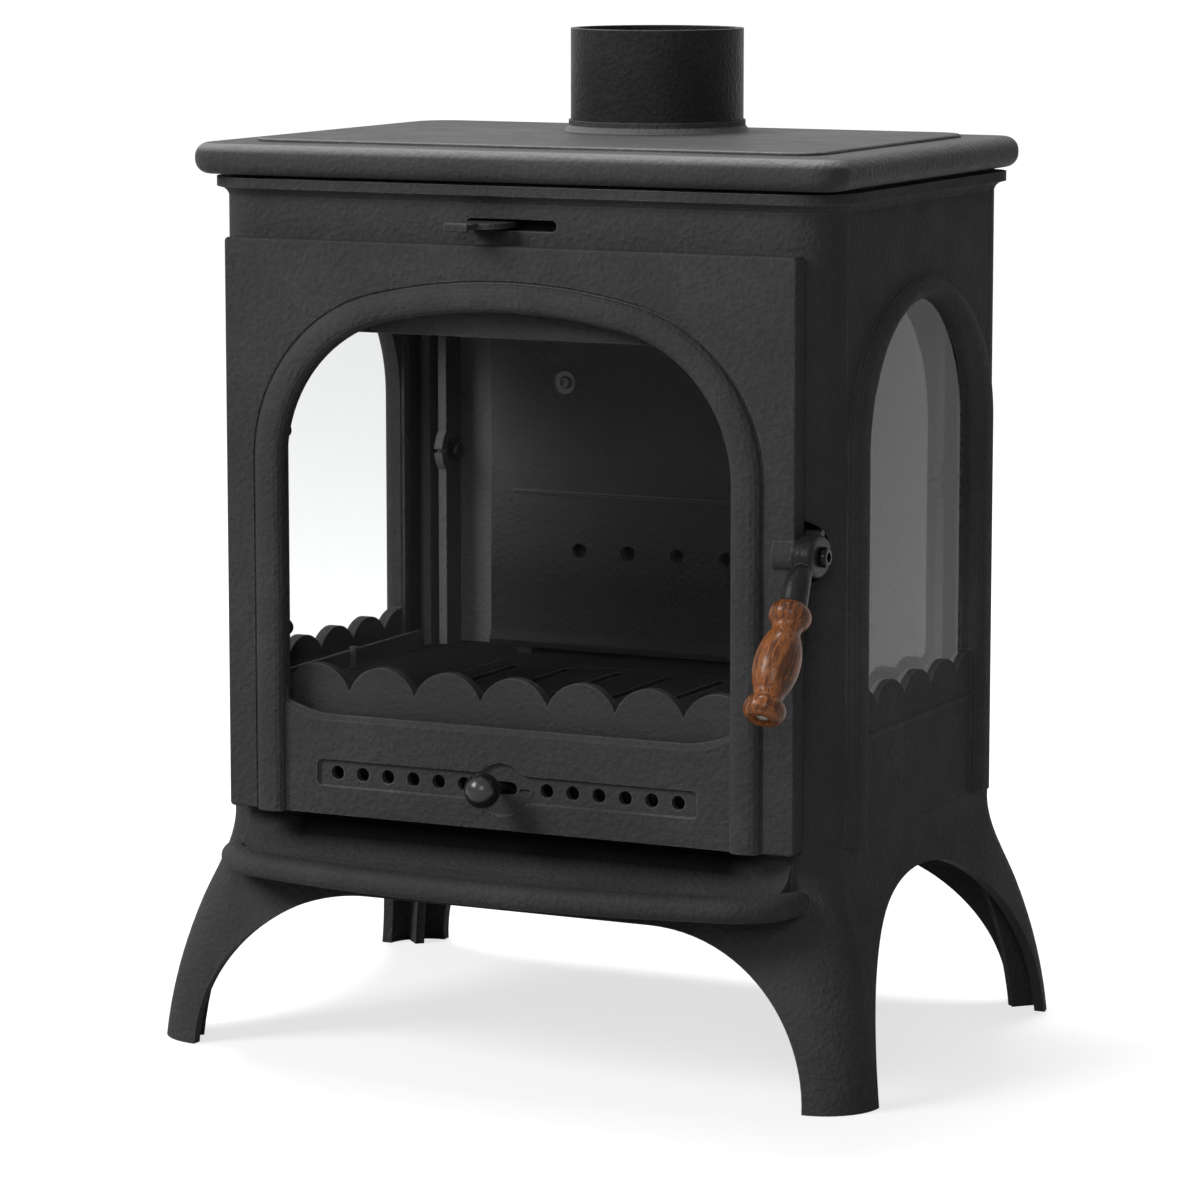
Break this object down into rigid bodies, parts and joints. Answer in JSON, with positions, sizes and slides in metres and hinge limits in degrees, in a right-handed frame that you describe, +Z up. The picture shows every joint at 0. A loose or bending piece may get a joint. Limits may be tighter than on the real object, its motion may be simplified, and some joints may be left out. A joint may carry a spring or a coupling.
{
  "type": "cast iron stove",
  "caption": "Free-standing cast iron room stove: arched glass door with wooden handle, arched side windows, flared legs, ash lip and flue spigot",
  "frame": {"origin": "on the floor, in the middle of the whole stove's ground area", "axes": "+X the stove's right as seen from the front, -Y its front with the door, +Z up along the flue"},
  "size_m": [0.5512, 0.4555, 0.7165],
  "materials": {
    "cast_iron_black": "matt black stove paint over a fine cast grain",
    "interior_iron": "dull dark cast iron inside the firebox",
    "spigot_enamel": "satin black",
    "black_steel": "black steel",
    "bright_steel": "bright zinc-plated steel",
    "brass_washer": "plain",
    "knob_black": "satin black",
    "turned_wood": "reddish brown turned wood under lacquer",
    "glass": "clear ceramic glass",
    "rope_gasket": "black glass-fibre rope"
  },
  "bodies": {
    "stove_body": {"base_stand": "cast_iron_black", "bottom_plate": "interior_iron", "front_plate": "cast_iron_black", "right_side_panel": "cast_iron_black", "left_side_panel": "cast_iron_black", "back_panel": "cast_iron_black", "top_plate": "cast_iron_black", "flue_spigot": "spigot_enamel", "spigot_bolts": "black_steel", "tie_rods": "black_steel", "tie_nuts": "black_steel", "right_side_glass": "glass", "left_side_glass": "glass", "right_glass_seal": "rope_gasket", "left_glass_seal": "rope_gasket", "side_glass_clips": "black_steel", "side_clip_screws": "black_steel", "side_glass_ledges": "interior_iron", "airwash_box": "black_steel", "airwash_guides": "black_steel", "bed_frame": "interior_iron", "grate": "interior_iron", "ash_pan": "black_steel", "back_liner": "interior_iron", "liner_bolts": "black_steel", "liner_washers": "black_steel", "liner_nuts": "black_steel", "baffle_plate": "interior_iron", "latch_pin": "black_steel", "seam_bolts": "black_steel", "seam_washers": "black_steel", "hinge_pins": "black_steel", "hinge_washers": "brass_washer"},
    "door": {"door_frame": "cast_iron_black", "door_glass": "glass", "door_glass_seal": "rope_gasket", "door_glass_clips": "black_steel", "door_clip_screws": "black_steel", "door_rope_seal": "rope_gasket", "air_slide_guides": "black_steel", "handle_spacer": "black_steel", "handle_pivot_bolt": "black_steel"},
    "handle": {"handle_lever": "cast_iron_black", "handle_grip": "turned_wood", "grip_bolt": "bright_steel"},
    "air_control": {"air_slide": "black_steel", "air_knob_stem": "black_steel", "air_knob": "knob_black"},
    "airwash_control": {"airwash_slide": "black_steel", "airwash_lever": "cast_iron_black"}
  },
  "joints": [
    {"name": "door_swing", "type": "hinge", "parent": "stove_body", "child": "door", "pos_m": [-0.213, -0.1315, 0.242], "axis": [0, 0, -1], "range_deg": [0, 105]},
    {"name": "handle_lift", "type": "hinge", "parent": "door", "child": "handle", "pos_m": [0.2288, -0.137, 0.3755], "axis": [-1, 0, 0], "range_deg": [0, 70]},
    {"name": "air_slide", "type": "slide", "parent": "door", "child": "air_control", "axis": [1, 0, 0], "range_m": [0, 0.01]},
    {"name": "airwash_slide", "type": "slide", "parent": "stove_body", "child": "airwash_control", "axis": [1, 0, 0], "range_m": [0, 0.034]}
  ]
}
